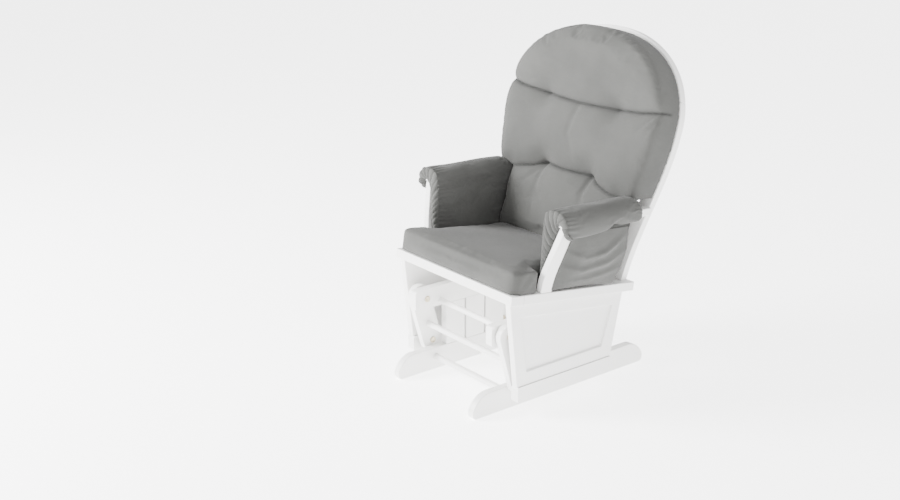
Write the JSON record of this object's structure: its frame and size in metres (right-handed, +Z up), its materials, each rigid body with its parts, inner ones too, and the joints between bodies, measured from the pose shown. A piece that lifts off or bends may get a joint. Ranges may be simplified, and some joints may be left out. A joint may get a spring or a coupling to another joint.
{
  "type": "glider nursery chair",
  "caption": "White wooden glider armchair with an arched back, padded arm covers, tufted grey cushions and a seat that swings on links over a fixed base.",
  "frame": {"origin": "on the floor under the middle of the whole chair's width and depth", "axes": "+Z up, the chair faces -Y, +X is the sitter's left"},
  "size_m": [0.65, 0.7238, 1.0236],
  "materials": {
    "white_paint": "smooth satin white paint over solid wood",
    "grey_fabric": "short brushed microfibre, mid grey",
    "zinc_hardware": "zinc plated steel",
    "nylon_bearing": "dark moulded nylon"
  },
  "bodies": {
    "base": {"runner_left": "white_paint", "top_rail_left": "white_paint", "upright_1_left": "white_paint", "upright_2_left": "white_paint", "upright_3_left": "white_paint", "runner_right": "white_paint", "top_rail_right": "white_paint", "upright_1_right": "white_paint", "upright_2_right": "white_paint", "upright_3_right": "white_paint", "base_dowel_lower": "white_paint", "base_dowel_upper": "white_paint", "rear_stretcher_lower": "white_paint", "rear_stretcher_upper": "white_paint", "front_upper_bolt_left": "zinc_hardware", "front_upper_bolt_right": "zinc_hardware", "rear_upper_bolt_left": "zinc_hardware", "rear_upper_bolt_right": "zinc_hardware"},
    "front_links": {"front_link_left": "white_paint", "front_link_right": "white_paint", "front_link_dowel": "white_paint"},
    "rear_links": {"rear_link_left": "white_paint", "rear_link_right": "white_paint", "rear_link_dowel": "white_paint"},
    "seat": {"front_lower_bolt_left": "zinc_hardware", "rear_lower_bolt_left": "zinc_hardware", "front_lower_bearing_left": "nylon_bearing", "rear_lower_bearing_left": "nylon_bearing", "side_panel_left": "white_paint", "panel_foot_rail_left": "white_paint", "seat_side_rail_left": "white_paint", "arm_post_left": "white_paint", "armrest_left": "white_paint", "arm_pad_left": "grey_fabric", "back_post_left": "white_paint", "front_lower_bolt_right": "zinc_hardware", "rear_lower_bolt_right": "zinc_hardware", "front_lower_bearing_right": "nylon_bearing", "rear_lower_bearing_right": "nylon_bearing", "side_panel_right": "white_paint", "panel_foot_rail_right": "white_paint", "seat_side_rail_right": "white_paint", "arm_post_right": "white_paint", "armrest_right": "white_paint", "arm_pad_right": "grey_fabric", "back_post_right": "white_paint", "seat_front_rail": "white_paint", "seat_rear_rail": "white_paint", "seat_slat_1": "white_paint", "seat_slat_2": "white_paint", "seat_slat_3": "white_paint", "back_crest": "white_paint", "back_lower_rail": "white_paint", "back_spindle_1": "white_paint", "back_spindle_2": "white_paint", "back_spindle_3": "white_paint", "back_spindle_4": "white_paint", "seat_cushion": "grey_fabric", "back_cushion": "grey_fabric"}
  },
  "joints": [
    {"name": "glide", "type": "hinge", "parent": "base", "child": "front_links", "pos_m": [0, -0.25424, 0.235], "axis": [1, 0, 0], "range_deg": [-18, 15]},
    {"name": "seat_pivot", "type": "hinge", "parent": "front_links", "child": "seat", "pos_m": [0, -0.21024, 0.083], "axis": [1, 0, 0], "range_deg": [-18, 21.5]},
    {"name": "rear_link_swing", "type": "hinge", "parent": "base", "child": "rear_links", "pos_m": [0, 0.06976, 0.235], "axis": [1, 0, 0], "range_deg": [-18.5, 15.5]}
  ],
  "couplings": [
    {"joint": "seat_pivot", "follows": "glide", "ratio": -1.145},
    {"joint": "rear_link_swing", "follows": "glide", "ratio": 1.01}
  ]
}
